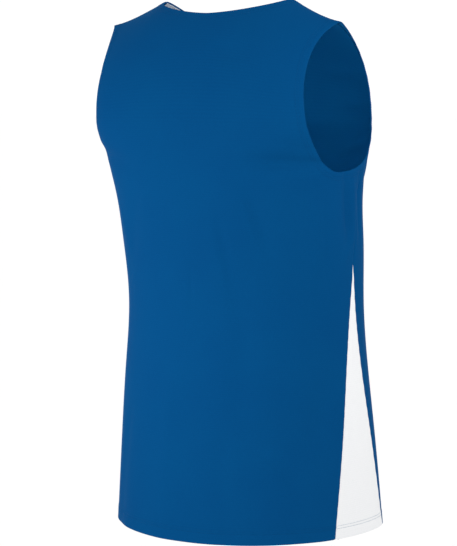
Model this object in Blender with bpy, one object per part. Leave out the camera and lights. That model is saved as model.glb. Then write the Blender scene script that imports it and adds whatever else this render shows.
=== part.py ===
# Sleeveless basketball jersey, filled out as if worn: back, front, two side inserts, front neck band.
# Metres, +Z up. The front faces -Y and the wearer's right is -X.
# Origin: about midway between the middles of the two shoulder seams.
from math import cos, exp, hypot, pi, radians, sin

import bmesh
import bpy
import numpy as np
from mathutils import Vector

MM = 0.001
WALL = 2.0 * MM            # cloth wall
SEAM_GAP = 0.32 * MM       # between pieces that are sewn together
BAND_WALL = 1.2 * MM       # neck band
BAND_WIDTH = 12.0 * MM

# One horizontal section of the body per row, in millimetres: height, half width, depth behind
# and before the middle, the middle's y, and the roundness (2 is an ellipse, more is squarer).
RINGS = [
    # height  half_w  back   front  mid_y  round
    (-730.0, 199.5, 171.5, 156.0, -54.0, 2.15),
    (-600.0, 192.0, 148.0, 151.5, -45.5, 2.15),
    (-500.0, 184.5, 135.0, 143.0, -41.5, 2.15),
    (-410.0, 180.0, 128.0, 134.0, -41.5, 2.15),
    (-320.0, 183.5, 129.5, 131.5, -35.5, 2.20),
    (-240.0, 188.5, 127.5, 130.5, -24.5, 2.35),
    (-180.0, 193.5, 122.0, 129.0, -17.5, 3.20),
    (-150.0, 193.0, 118.0, 126.0, -13.0, 3.75),
]
HEM = -730.0 * MM
HEM_DIP = 6.0 * MM         # the hem hangs this much lower in the middles
YOKE = -150.0 * MM         # above this height the cloth turns over to the shoulder seam
YOKE_ARC = 205.0 * MM      # length of that turn
TURN_UPRIGHT = 0.72        # the turn sets off upright, longer with a larger share of its rise
TURN_LEVEL = 0.14          # and comes in level, longer with a larger share of its depth

NECK_POINT = Vector((0.1058, -0.0040, 0.0202))      # inner end of the left shoulder seam
SHOULDER_TIP = Vector((0.1915, 0.0065, -0.0125))    # its outer end
RIDGE_SOFT = 180.0 * MM    # rounds the line of the shoulders off across the neck
RIDGE_SAG = 0.6            # it falls faster near the neck than near the tip
RIDGE_FADE = 3.0           # how soon that dies away inside the neck
NECK_BACK = 1.5 * MM       # height of the back neckline's middle
NECK_FRONT = -75.0 * MM    # height of the front neckline's middle
NECK_ROUND = {"back": 1.5, "front": 1.5}

# Armhole: its lowest point, and its innermost point on each panel, as angle and height.
# Angles go round the body from the middle of the back (0) past the side (90) to the front (180).
ARM_LOW = (81.5, -220.0 * MM)
ARM_IN = {"back": (62.1, -105.0 * MM), "front": (111.5, -168.5 * MM)}
ARM_BOW = 2.2              # 1 makes the edge above that point straight

SIDE_SEAM_LOW = 91.5       # angle of the side seam at the insert's tip
SIDE_SEAM_TOP = 100.0      # and at the armhole
INSERT_TIP = -349.0 * MM
INSERT_HEM_Y = {"back": 16.5 * MM, "front": -110.0 * MM}   # where its long edges meet the hem
INSERT_BOW = 1.15          # 1 makes its long edges straight
INSERT_TIP_WIDTH = 1.0 * MM
TIP_SLIT = 10.0 * MM       # the panels close up over this height above the insert

# Largest soft folds, each along a line on the cloth: angle and height of its two ends, half
# width and height of the relief in millimetres (a trough is negative).
FOLDS = [
    # angle_a  height_a  angle_b  height_b  half_w  relief
    (-68.0, -0.195, -34.0, -0.207, 17.0, -3.0),     # under the shoulder blades
    (68.0, -0.200, 36.0, -0.214, 18.0, -2.6),
    (-60.0, -0.100, -61.0, -0.170, 24.0, 2.2),      # over the shoulder blades
    (60.0, -0.095, 58.0, -0.165, 24.0, 2.0),
    (-38.0, -0.232, -49.0, -0.335, 16.0, -2.0),     # slanting down from them
    (40.0, -0.240, 52.0, -0.350, 17.0, -1.6),
    (-33.0, -0.250, -30.0, -0.580, 24.0, -2.4),     # long hollow down the back
    (-87.0, -0.235, -89.0, -0.345, 14.0, -2.2),     # under the arms
    (87.0, -0.240, 90.0, -0.350, 15.0, -2.0),
    (-112.0, -0.195, -142.0, -0.255, 16.0, -2.8),   # across the front, from the armholes
    (114.0, -0.200, 146.0, -0.245, 17.0, -2.6),
    (-128.0, -0.420, -134.0, -0.660, 22.0, 2.6),    # flare of the front hem
    (136.0, -0.440, 139.0, -0.670, 24.0, 2.4),
]
FOLD_ENDS = 0.35           # share of a fold's relief that is left at its ends
BODY_RADIUS = 185.0 * MM   # turns an angle into a length round the body

# Cells of the mesh. A panel is four patches: the body up to the underarm, the chest, the strap
# and a strip along the neckline as wide as the neck band.
INSERT_ROWS = 10
SIDE_ROWS = 4
CHEST_ROWS = {"back": 6, "front": 5}
STRAP_ROWS = {"back": 7, "front": 9}
STRAP_CELLS = 5
NECK_CELLS = {"back": 8, "front": 6}       # from the middle line to the foot of the strap
ARM_LOW_CELLS = {"back": 8, "front": 4}    # below the armhole
CURVE_STEPS = 40           # places worked out along a curve before it is spaced evenly
# Foot of the chest patch: share of the armhole's lower arc, and its height on the middle line.
CHEST_ARC = {"back": 0.62, "front": 0.72}
CHEST_MIDDLE = {"back": -205.0 * MM, "front": -232.0 * MM}
MIDDLE_ANGLE = {"back": 0.0, "front": 180.0}
PROBE = 0.2                # degrees between two points of the form that give its slope there
PROBE_UP = 0.25 * MM       # and the same up the cloth
SEAM_SIDE = 3.5 * MM       # the cloth's edge at the shoulder lies within this of the seam

BLUE = (0.0035, 0.0770, 0.2340)
WHITE = (0.8550, 0.8550, 0.8630)


def natural_spline(heights, rows):
    """Smooth curve through rows of values at rising heights, straight at the lower end and
    upright at the upper one."""
    x = np.array(heights)
    y = np.array(rows)
    count = len(x)
    step = np.diff(x)
    system = np.zeros((count, count))
    right = np.zeros_like(y)
    system[0, 0] = 1.0
    system[-1, -1] = 2.0 * step[-1]
    system[-1, -2] = step[-1]
    right[-1] = -6.0 * (y[-1] - y[-2]) / step[-1]
    for i in range(1, count - 1):
        system[i, i - 1] = step[i - 1]
        system[i, i] = 2.0 * (step[i - 1] + step[i])
        system[i, i + 1] = step[i]
        right[i] = 6.0 * ((y[i + 1] - y[i]) / step[i] - (y[i] - y[i - 1]) / step[i - 1])
    bend = np.linalg.solve(system, right)

    def value(at):
        at = min(max(at, x[0]), x[-1])
        i = min(max(int(np.searchsorted(x, at, side="right")) - 1, 0), count - 2)
        t = at - x[i]
        slope = (y[i + 1] - y[i]) / step[i] - step[i] * (2.0 * bend[i] + bend[i + 1]) / 6.0
        return y[i] + t * (slope + t * (bend[i] / 2.0 + t * (bend[i + 1] - bend[i]) / (6.0 * step[i])))

    return value


ring_at = natural_spline([row[0] * MM for row in RINGS], [row[1:] for row in RINGS])


def shoulder_line(x):
    """y and z of the shoulder seam at a distance x from the middle."""
    near = hypot(NECK_POINT.x, RIDGE_SOFT)
    t = (hypot(x, RIDGE_SOFT) - near) / (hypot(SHOULDER_TIP.x, RIDGE_SOFT) - near)
    t += RIDGE_SAG * t * (1.0 - t if t > 0.0 else exp(RIDGE_FADE * t))
    return NECK_POINT.lerp(SHOULDER_TIP, t).yz


def ring_point(angle, height):
    """Plan position on the section at this height."""
    half_width, back, front, middle, roundness = ring_at(height)
    side = sin(radians(angle))
    ahead = cos(radians(angle))
    depth = back if ahead > 0.0 else front
    radius = (abs(side / half_width) ** roundness + abs(ahead / depth) ** roundness) ** (-1.0 / roundness)
    return radius * side * MM, (middle + radius * ahead) * MM


def yoke_turn(share):
    """How much of the depth is left and of the rise is made, part of the way along the turn."""
    rest = 1.0 - share
    left = rest ** 3 + 3.0 * rest ** 2 * share + 3.0 * rest * share ** 2 * TURN_LEVEL
    risen = 3.0 * rest ** 2 * share * TURN_UPRIGHT + 3.0 * rest * share ** 2 + share ** 3
    return left, risen


def smooth_form(angle, level):
    """Cloth surface without its folds. Up to the yoke a level is a height; above it, the length
    along the turn from the yoke to the shoulder seam."""
    x, y = ring_point(angle, min(level, YOKE))
    if level <= YOKE:
        hang = max(0.0, (level - RINGS[1][0] * MM) / (HEM - RINGS[1][0] * MM))
        return Vector((x, y, level - HEM_DIP * hang * cos(radians(angle)) ** 2))
    left, risen = yoke_turn(min((level - YOKE) / YOKE_ARC, 1.0))
    seam_y, seam_z = shoulder_line(x)
    return Vector((x, seam_y + (y - seam_y) * left, YOKE + (seam_z - YOKE) * risen))


def smooth_normal(angle, level):
    """Outward direction of the smooth form. Beside the shoulder seam it is square to the seam, so
    that the two walls run down next to each other."""
    top = YOKE + YOKE_ARC
    if top - level < SEAM_SIDE:
        level = top
    across = smooth_form(angle + PROBE, level) - smooth_form(angle - PROBE, level)
    upward = smooth_form(angle, min(level + PROBE_UP, top)) - smooth_form(angle, level - PROBE_UP)
    return upward.cross(across).normalized()


def fold_relief(angle, level):
    """Sum of the soft folds here, outward."""
    round_scale = radians(1.0) * BODY_RADIUS
    total = 0.0
    for angle_a, level_a, angle_b, level_b, half_width, relief in FOLDS:
        along = Vector(((angle_b - angle_a) * round_scale, level_b - level_a))
        here = Vector(((angle - angle_a) * round_scale, level - level_a))
        t = min(max(here.dot(along) / along.length_squared, 0.0), 1.0)
        away = (here - along * t).length / (half_width * MM)
        taper = FOLD_ENDS + (1.0 - FOLD_ENDS) * sin(pi * t)
        total += relief * MM * taper * exp(-away * away)
    return total


def cloth(angle, level):
    """Outer point of the cloth and its outward direction."""
    normal = smooth_normal(angle, level)
    return smooth_form(angle, level) + normal * fold_relief(angle, level), normal


def solve(function, low, high):
    """Where a function that changes sign between low and high is zero."""
    rising = function(high) > function(low)
    for _ in range(60):
        middle = (low + high) / 2.0
        if (function(middle) > 0.0) == rising:
            high = middle
        else:
            low = middle
    return (low + high) / 2.0


def angle_at_x(x, level, panel):
    start = MIDDLE_ANGLE[panel]
    return solve(lambda angle: smooth_form(angle, level).x - x, start, 90.0)


def angle_at_y(y, level):
    return solve(lambda angle: smooth_form(angle, level).y - y, 40.0, 140.0)


def local_degrees(length, angle, level):
    """A length round the body, as an angle."""
    x, y = ring_point(angle, min(level, YOKE))
    ahead_x, ahead_y = ring_point(angle + PROBE, min(level, YOKE))
    return length * PROBE / hypot(ahead_x - x, ahead_y - y)


def seam_level(x, panel):
    """Level of a panel's shoulder edge, half a seam gap from the seam itself."""
    angle = angle_at_x(x, YOKE, panel)
    depth = abs(ring_point(angle, YOKE)[1] - shoulder_line(x)[0])
    return YOKE + YOKE_ARC * solve(lambda share: yoke_turn(share)[0] * depth - SEAM_GAP / 2.0, 0.5, 1.0)


def insert_edge(panel, level):
    """Angle of the seam between a panel and the insert, or of the side seam above it."""
    if level > INSERT_TIP:
        t = (level - INSERT_TIP) / (ARM_LOW[1] - INSERT_TIP)
        return SIDE_SEAM_LOW + (SIDE_SEAM_TOP - SIDE_SEAM_LOW) * t
    hem_angle = angle_at_y(INSERT_HEM_Y[panel], HEM)
    widening = ((INSERT_TIP - level) / (INSERT_TIP - HEM)) ** INSERT_BOW
    tip_shift = local_degrees(INSERT_TIP_WIDTH / 2.0 + SEAM_GAP / 2.0, SIDE_SEAM_LOW, INSERT_TIP)
    outward = -1.0 if panel == "back" else 1.0
    tip_angle = SIDE_SEAM_LOW + outward * tip_shift
    return tip_angle + (hem_angle - tip_angle) * widening


def arm_low_arc(panel, share):
    """Place on the armhole's lower arc, from its lowest point (0) to its innermost one (1)."""
    in_angle, in_level = ARM_IN[panel]
    turn = share * pi / 2.0
    return (ARM_LOW[0] + (in_angle - ARM_LOW[0]) * sin(turn),
            in_level + (ARM_LOW[1] - in_level) * cos(turn))


def arm_high_arc(panel, share):
    """Place on its upper arc, from the innermost point (0) to the shoulder tip (1)."""
    in_angle, in_level = ARM_IN[panel]
    tip_angle = angle_at_x(SHOULDER_TIP.x, YOKE, panel)
    tip_level = seam_level(SHOULDER_TIP.x, panel)
    return (in_angle + (tip_angle - in_angle) * share ** ARM_BOW,
            in_level + (tip_level - in_level) * share)


def side_seam_top():
    """Share of the front's lower arc at which the side seam meets the armhole."""
    def ahead(share):
        angle, level = arm_low_arc("front", share)
        return angle - insert_edge("front", max(level, INSERT_TIP + MM))

    return solve(ahead, 0.0, 1.0)


def arm_edges(panel):
    """The armhole's edge on a panel: from the side seam to the chest, and on to the tip."""
    seam = side_seam_top()
    chest = CHEST_ARC[panel]
    outward = -1.0 if panel == "back" else 1.0
    angle, level = arm_low_arc("front", seam)
    low = [(angle + outward * local_degrees(SEAM_GAP / 2.0, angle, level), level)]
    if panel == "back":
        low += [arm_low_arc("front", t) for t in np.linspace(seam, 0.0, CURVE_STEPS)[1:]]
        seam = 0.0
    low += [arm_low_arc(panel, t) for t in np.linspace(seam, chest, CURVE_STEPS)[1:]]
    high = [arm_low_arc(panel, t) for t in np.linspace(chest, 1.0, CURVE_STEPS)]
    high += [arm_high_arc(panel, t) for t in np.linspace(0.0, 1.0, CURVE_STEPS)[1:]]
    rows = CHEST_ROWS[panel] + STRAP_ROWS[panel]
    return spaced(low, ARM_LOW_CELLS[panel]), spaced(high, rows)


def neck_curve(panel):
    """Neckline as angle and level, from its middle to the neck point."""
    drop = NECK_BACK if panel == "back" else NECK_FRONT
    power = 2.0 / NECK_ROUND[panel]
    curve = []
    for step in range(CURVE_STEPS + 1):
        t = step / CURVE_STEPS * pi / 2.0
        x = NECK_POINT.x * sin(t) ** power
        height = NECK_POINT.z + (drop - NECK_POINT.z) * max(cos(t), 0.0) ** power
        level = height
        if height > YOKE:
            reach = min((height - YOKE) / (shoulder_line(x)[1] - YOKE), 1.0)
            level = YOKE + YOKE_ARC * solve(lambda share: yoke_turn(share)[1] - reach, 0.0, 1.0)
        level = min(level, seam_level(x, panel))
        angle = MIDDLE_ANGLE[panel] if step == 0 else angle_at_x(x, min(level, YOKE), panel)
        curve.append((angle, level))
    return curve


def shoulder_place(x, panel):
    return angle_at_x(x, YOKE, panel), seam_level(x, panel)


def spaced(curve, count):
    """count + 1 places at equal distances on the cloth along a curve of angles and levels."""
    points = [smooth_form(*place) for place in curve]
    runs = [0.0]
    for a, b in zip(points, points[1:]):
        runs.append(runs[-1] + (b - a).length)
    wanted = np.linspace(0.0, runs[-1], count + 1)
    angles = np.interp(wanted, runs, [place[0] for place in curve])
    levels = np.interp(wanted, runs, [place[1] for place in curve])
    return list(zip(angles.tolist(), levels.tolist()))


def seam_edge(panel, top_level):
    """A panel's edge from the hem, up the insert and the side seam, to the armhole."""
    outward = -1.0 if panel == "back" else 1.0
    heights = list(np.linspace(HEM, INSERT_TIP, INSERT_ROWS + 1))
    heights += list(np.linspace(INSERT_TIP + TIP_SLIT, top_level, SIDE_ROWS))
    edge = []
    for level in heights:
        angle = insert_edge(panel, level)
        edge.append((angle + outward * local_degrees(SEAM_GAP / 2.0, angle, level), float(level)))
    return edge


def straight(start, end, count):
    return [tuple(np.array(start) + (np.array(end) - np.array(start)) * i / count)
            for i in range(count + 1)]


def blend_patch(bottom, top, inner, outer):
    """Grid of places between four edges that share their corners (a Coons patch)."""
    bottom, top, inner, outer = (np.array(edge) for edge in (bottom, top, inner, outer))
    columns, rows = len(bottom) - 1, len(inner) - 1
    grid = []
    for j in range(rows + 1):
        v = j / rows
        line = []
        for i in range(columns + 1):
            u = i / columns
            edges = (1 - v) * bottom[i] + v * top[i] + (1 - u) * inner[j] + u * outer[j]
            corners = ((1 - u) * (1 - v) * bottom[0] + u * (1 - v) * bottom[-1]
                       + (1 - u) * v * top[0] + u * v * top[-1])
            line.append(tuple(edges - corners))
        grid.append(line)
    return grid


def inset_edge(edge, width):
    """The same edge moved down the cloth by a width, square to the edge."""
    places = []
    for i, (angle, level) in enumerate(edge):
        here = smooth_form(angle, level)
        run = smooth_form(*edge[min(i + 1, len(edge) - 1)]) - smooth_form(*edge[max(i - 1, 0)])
        down = run.cross(smooth_normal(angle, level)).normalized()
        if edge[0][0] == MIDDLE_ANGLE["back"]:
            down.negate()
        step_angle = smooth_form(angle + PROBE, level) - here
        step_level = here - smooth_form(angle, level - MM)
        normal = step_angle.cross(step_level)
        d_angle = down.cross(step_level).dot(normal) / normal.length_squared
        d_level = step_angle.cross(down).dot(normal) / normal.length_squared
        places.append((angle + PROBE * d_angle * width, level + MM * d_level * width))
    return places


def panel_patches(panel):
    """Left half of a panel as patches of places: body, chest, strap and neck strip."""
    middle = MIDDLE_ANGLE[panel]
    neck_cells = NECK_CELLS[panel]
    chest_rows = CHEST_ROWS[panel]
    low, high = arm_edges(panel)
    neck = spaced(neck_curve(panel), neck_cells + STRAP_ROWS[panel])
    inset = inset_edge(neck, BAND_WIDTH)
    inset[0] = (middle, inset[0][1])
    seam_run = (SHOULDER_TIP - NECK_POINT).normalized()
    inset_x = NECK_POINT.x + BAND_WIDTH * seam_run.x
    shoulder = [shoulder_place(x, panel) for x in np.linspace(inset_x, SHOULDER_TIP.x, STRAP_CELLS + 1)]
    inset[-1] = shoulder[0]

    side = seam_edge(panel, low[0][1])
    side[-1] = low[0]
    hem = straight((middle, HEM), side[0], neck_cells + STRAP_CELLS + ARM_LOW_CELLS[panel])
    chest_foot = straight((middle, CHEST_MIDDLE[panel]), high[0], neck_cells + STRAP_CELLS)
    body_middle = straight(hem[0], chest_foot[0], INSERT_ROWS + SIDE_ROWS)
    body = blend_patch(hem, chest_foot + low[-2::-1], body_middle, side)

    strap_foot = straight(inset[neck_cells], high[chest_rows], STRAP_CELLS)
    chest_middle = straight(chest_foot[0], inset[0], chest_rows)
    chest = blend_patch(chest_foot, inset[:neck_cells] + strap_foot, chest_middle, high[:chest_rows + 1])
    strap = blend_patch(strap_foot, shoulder, inset[neck_cells:], high[chest_rows:])
    return [body, chest, strap, [inset, neck]]


def mirrored(patches):
    """The patches together with their mirror images on the wearer's right."""
    right = [[[(-angle, level) for angle, level in reversed(line)] for line in patch] for patch in patches]
    return patches + right


def insert_patch():
    """Left insert, row by row from the hem, with one column less each row."""
    grid = []
    for j in range(INSERT_ROWS + 1):
        level = HEM + (INSERT_TIP - HEM) * j / INSERT_ROWS
        back = insert_edge("back", level)
        front = insert_edge("front", level)
        back += local_degrees(SEAM_GAP / 2.0, back, level)
        front -= local_degrees(SEAM_GAP / 2.0, front, level)
        columns = INSERT_ROWS - j + 1
        grid.append([(back + (front - back) * i / columns, level) for i in range(columns + 1)])
    return grid


def patch_triangles(patch):
    """Triangles of places between the rows of a patch. A row may be one shorter than the last."""
    for lower, upper in zip(patch, patch[1:]):
        lean = len(upper) - len(lower) + 1
        for i in range(len(lower) - 1):
            yield lower[i], lower[i + 1], upper[i + lean]
            if i + 1 < len(upper):
                yield lower[i + 1 - lean], upper[i + 1], upper[i]


def add_wall(name, patches, depth_out, depth_in, material):
    """Closed cloth wall through patches of places, between two depths under the outer surface."""
    mesh = bmesh.new()
    outer = {}
    inner = {}

    def corner(place):
        key = (round(place[0], 4) % 360.0, round(place[1], 7))
        if key not in outer:
            point, normal = cloth(*place)
            outer[key] = mesh.verts.new(point - normal * depth_out)
            inner[key] = mesh.verts.new(point - normal * depth_in)
        return key

    for patch in patches:
        for triangle in patch_triangles(patch):
            keys = [corner(place) for place in triangle]
            mesh.faces.new([outer[key] for key in keys]).smooth = True
            mesh.faces.new([inner[key] for key in reversed(keys)]).smooth = True
    opposite = {outer[key]: inner[key] for key in outer}
    for edge in [edge for edge in mesh.edges if edge.is_boundary and edge.verts[0] in opposite]:
        a, b = edge.verts
        mesh.faces.new((a, b, opposite[b]))
        mesh.faces.new((a, opposite[b], opposite[a]))
        edge.smooth = False
        mesh.edges.get((opposite[a], opposite[b])).smooth = False
    bmesh.ops.recalc_face_normals(mesh, faces=mesh.faces)
    data = bpy.data.meshes.new(name)
    mesh.to_mesh(data)
    mesh.free()
    data.materials.append(material)
    bpy.context.scene.collection.objects.link(bpy.data.objects.new(name, data))


def cloth_material(name, colour):
    material = bpy.data.materials.new(name)
    material.use_nodes = True
    shader = material.node_tree.nodes["Principled BSDF"]
    shader.inputs["Base Color"].default_value = (*colour, 1.0)
    shader.inputs["Roughness"].default_value = 0.8
    shader.inputs["Metallic"].default_value = 0.0
    return material


def main():
    for old in list(bpy.data.objects):
        bpy.data.objects.remove(old, do_unlink=True)
    blue = cloth_material("blue_knit", BLUE)
    white = cloth_material("white_knit", WHITE)
    back = panel_patches("back")
    front = panel_patches("front")
    add_wall("back_panel", mirrored(back), 0.0, WALL, blue)
    add_wall("front_panel", mirrored(front), 0.0, WALL, blue)
    band_depth = WALL + SEAM_GAP
    add_wall("neck_band", mirrored(front[-1:]), band_depth, band_depth + BAND_WALL, white)
    left, right = mirrored([insert_patch()])
    add_wall("insert_left", [left], 0.0, WALL, white)
    add_wall("insert_right", [right], 0.0, WALL, white)


main()
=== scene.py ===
from math import cos, pi, radians, sin

import bpy
import numpy as np
from mathutils import Matrix, Vector, kdtree


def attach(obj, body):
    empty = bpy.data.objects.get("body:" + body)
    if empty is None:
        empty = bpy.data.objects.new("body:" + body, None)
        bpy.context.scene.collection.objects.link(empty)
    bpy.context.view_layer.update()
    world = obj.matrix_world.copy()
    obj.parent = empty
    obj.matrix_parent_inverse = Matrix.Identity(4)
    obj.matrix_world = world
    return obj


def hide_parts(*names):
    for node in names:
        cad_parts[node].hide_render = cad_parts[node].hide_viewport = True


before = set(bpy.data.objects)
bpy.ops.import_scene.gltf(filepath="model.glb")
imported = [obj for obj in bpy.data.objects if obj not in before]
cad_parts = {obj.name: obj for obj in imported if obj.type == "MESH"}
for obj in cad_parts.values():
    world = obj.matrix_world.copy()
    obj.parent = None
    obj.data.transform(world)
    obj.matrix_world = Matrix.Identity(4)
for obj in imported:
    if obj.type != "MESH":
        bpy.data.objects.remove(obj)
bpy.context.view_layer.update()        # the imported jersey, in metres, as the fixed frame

mm = 0.001               # the cloth is worked out in millimetres and degrees
print("frame loaded:", ", ".join(sorted(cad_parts)))


# The worn form. An angle runs round the body from the middle of the back (0), past the wearer's
# left side (90), to the middle of the front (180). A level is a height. Above the yoke it is a
# length along the turn to the shoulder seam.
wornForm = {
    "rings": (
        # height  halfWidth  back   front  middleY  roundness
        (-730.0, 199.5, 171.5, 156.0, -54.0, 2.15),
        (-600.0, 192.0, 148.0, 151.5, -45.5, 2.15),
        (-500.0, 184.5, 135.0, 143.0, -41.5, 2.15),
        (-410.0, 180.0, 128.0, 134.0, -41.5, 2.15),
        (-320.0, 183.5, 129.5, 131.5, -35.5, 2.20),
        (-240.0, 188.5, 127.5, 130.5, -24.5, 2.35),
        (-180.0, 193.5, 122.0, 129.0, -17.5, 3.20),
        (-150.0, 193.0, 118.0, 126.0, -13.0, 3.75),
    ),
    "hem": -730.0, "hemDip": 6.0, "dipFrom": -600.0,
    "yoke": -150.0, "yokeArc": 205.0, "turnUpright": 0.72, "turnLevel": 0.14,
    "neckPoint": (105.8, -4.0, 20.2), "shoulderTip": (191.5, 6.5, -12.5),
    "ridgeSoft": 180.0, "ridgeSag": 0.6, "ridgeFade": 3.0,
}
hem, yoke, yokeArc = wornForm["hem"], wornForm["yoke"], wornForm["yokeArc"]
neckPoint, shoulderTip = np.array(wornForm["neckPoint"]), np.array(wornForm["shoulderTip"])
smallStep = 0.2          # degrees and millimetres over which slopes are measured


def splineThrough(rows):
    # smooth curve through the sections, straight at the hem and upright at the yoke
    table = np.array(rows)
    x, y = table[:, 0], table[:, 1:]
    step, last = np.diff(x), len(x) - 1
    system, right = np.zeros((last + 1, last + 1)), np.zeros_like(y)
    system[0, 0] = 1.0
    system[last, last - 1:] = step[-1], 2.0 * step[-1]
    right[last] = -6.0 * (y[last] - y[last - 1]) / step[-1]
    for i in range(1, last):
        system[i, i - 1:i + 2] = step[i - 1], 2.0 * (step[i - 1] + step[i]), step[i]
        right[i] = 6.0 * ((y[i + 1] - y[i]) / step[i] - (y[i] - y[i - 1]) / step[i - 1])
    bend = np.linalg.solve(system, right)

    def value(at):
        at = np.clip(at, x[0], x[-1])
        i = np.clip(np.searchsorted(x, at, side="right") - 1, 0, last - 1)
        t, h = (at - x[i])[..., None], step[i][..., None]
        slope = (y[i + 1] - y[i]) / h - h * (2.0 * bend[i] + bend[i + 1]) / 6.0
        return y[i] + t * (slope + t * (bend[i] / 2.0 + t * (bend[i + 1] - bend[i]) / (6.0 * h)))

    return value


ringAt = splineThrough(wornForm["rings"])


def ringPoint(angle, height):
    halfWidth, back, front, middle, roundness = np.moveaxis(ringAt(height), -1, 0)
    side, ahead = np.sin(np.radians(angle)), np.cos(np.radians(angle))
    depth = np.where(ahead > 0.0, back, front)
    radius = abs(side / halfWidth) ** roundness + abs(ahead / depth) ** roundness
    radius = radius ** (-1.0 / roundness)
    return radius * side, middle + radius * ahead


def shoulderLine(x):
    # y and z of the shoulder seam at a distance x from the middle
    soft = wornForm["ridgeSoft"]
    near = np.hypot(neckPoint[0], soft)
    t = (np.hypot(x, soft) - near) / (np.hypot(shoulderTip[0], soft) - near)
    t = t + wornForm["ridgeSag"] * t * np.where(t > 0.0, 1.0 - t, np.exp(wornForm["ridgeFade"] * t))
    return [neckPoint[i] + (shoulderTip[i] - neckPoint[i]) * t for i in (1, 2)]


def yokeTurn(share):
    # how much of the depth is left and of the rise is made, part of the way along the turn
    rest = 1.0 - share
    left = rest ** 3 + 3.0 * rest ** 2 * share + 3.0 * rest * share ** 2 * wornForm["turnLevel"]
    risen = 3.0 * rest ** 2 * share * wornForm["turnUpright"] + 3.0 * rest * share ** 2 + share ** 3
    return left, risen


def formPoint(places):
    # the cloth's surface without its folds; a place is (angle, level)
    angle, level = places[..., 0], places[..., 1]
    x, y = ringPoint(angle, np.minimum(level, yoke))
    hang = np.clip((level - wornForm["dipFrom"]) / (hem - wornForm["dipFrom"]), 0.0, 1.0)
    z = level - wornForm["hemDip"] * hang * np.cos(np.radians(angle)) ** 2
    left, risen = yokeTurn(np.clip((level - yoke) / yokeArc, 0.0, 1.0))
    seamY, seamZ = shoulderLine(x)
    over = level > yoke
    y = np.where(over, seamY + (y - seamY) * left, y)
    z = np.where(over, yoke + (seamZ - yoke) * risen, z)
    return np.stack((x, y, z), -1)


def formNormal(places):
    aside = np.array((smallStep, 0.0))
    across = formPoint(places + aside) - formPoint(places - aside)
    upper, lower = places.copy(), places.copy()
    upper[..., 1] = np.minimum(places[..., 1] + smallStep, yoke + yokeArc)
    lower[..., 1] = upper[..., 1] - 2.0 * smallStep
    normal = np.cross(formPoint(upper) - formPoint(lower), across)
    return normal / np.linalg.norm(normal, axis=-1, keepdims=True)


def place(angle, level):
    return np.stack(np.broadcast_arrays(np.asarray(angle, float), np.asarray(level, float)), -1)


def localDegrees(length, places):
    # a length round the body, as an angle
    step = formPoint(places + np.array((smallStep, 0.0))) - formPoint(places)
    return length * smallStep / np.linalg.norm(step[..., :2], axis=-1)


def unit(vectors):
    return vectors / np.maximum(np.linalg.norm(vectors, axis=-1, keepdims=True), 1e-9)


def besideCurve(curve, share):
    # places of a curve, and the direction on the cloth at right angles to it
    here, near = curve(share), 0.01
    run = (formPoint(curve(np.minimum(share + near, 1.0)))
           - formPoint(curve(np.maximum(share - near, 0.0))))
    return here, unit(np.cross(run, formNormal(here)))


def moveAlong(here, way, width):
    # places moved over the cloth by a width, in a direction that is given in space
    stepAngle = (formPoint(here + np.array((smallStep, 0.0))) - formPoint(here)) / smallStep
    stepLevel = formPoint(here) - formPoint(here - np.array((0.0, 1.0)))
    across = np.cross(stepAngle, stepLevel)
    size = (across * across).sum(-1)
    byAngle = (np.cross(way, stepLevel) * across).sum(-1) / size
    byLevel = (np.cross(stepAngle, way) * across).sum(-1) / size
    return here + place(byAngle, byLevel) * width


def solveFor(function, low, high):
    # where functions that change sign between low and high are zero
    rising = function(high) > function(low)
    for _ in range(46):
        middle = (low + high) / 2.0
        past = (function(middle) > 0.0) == rising
        low, high = np.where(past, low, middle), np.where(past, middle, high)
    return (low + high) / 2.0


# Where the cloth is cut and sewn.
cut = {
    "middle": {"back": 0.0, "front": 180.0},
    "neck": {"back": 1.5, "front": -75.0},                       # height of the neckline's middle
    "neckRound": {"back": 1.5, "front": 1.5},
    "armLow": (81.5, -220.0),                                    # lowest place of the armhole
    "armIn": {"back": (62.1, -105.0), "front": (111.5, -168.5)},   # its innermost places
    "armBow": 2.2,
    "seamAngles": (91.5, 100.0),                                 # side seam at its foot and its top
    "insertTip": -349.0,
    "insertHemY": {"back": 16.5, "front": -110.0},
    "insertBow": 1.15,
    "bandWidth": 12.0,
    "seamGap": 0.08,                                             # left open between sewn pieces
}
outwardTurn = {"back": -1.0, "front": 1.0}                       # way from a seam into the panel


def angleAtX(x, level, panel):
    x = np.asarray(x, float)
    start, side = np.full_like(x, cut["middle"][panel]), np.full_like(x, 90.0)
    return solveFor(lambda angle: formPoint(place(angle, level))[..., 0] - x, start, side)


def seamLevel(x, panel):
    # level of a panel's shoulder edge, half a gap from the seam itself
    angle = angleAtX(x, yoke, panel)
    bodyY = ringPoint(angle, np.full_like(angle, yoke))[1]
    depth = abs(bodyY - shoulderLine(np.asarray(x, float))[0])
    half, whole = np.full_like(depth, 0.5), np.full_like(depth, 1.0)

    def short(share):
        return yokeTurn(share)[0] * depth - cut["seamGap"] / 2.0

    return yoke + yokeArc * solveFor(short, half, whole)


def shoulderPlace(x, panel):
    return place(angleAtX(x, yoke, panel), seamLevel(x, panel))


def insertEdge(panel, level):
    # angle of the seam between a panel and the insert, or of the side seam above it
    level = np.asarray(level, float)
    low, top = cut["seamAngles"]
    tip = cut["insertTip"]
    seam = low + (top - low) * (level - tip) / (cut["armLow"][1] - tip)
    hemY = cut["insertHemY"][panel]
    hemAngle = solveFor(lambda angle: formPoint(place(angle, hem))[1] - hemY,
                        np.array(40.0), np.array(140.0))
    widening = np.clip((tip - level) / (tip - hem), 0.0, 1.0) ** cut["insertBow"]
    return np.where(level > tip, seam, low + (hemAngle - low) * widening)


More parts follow.
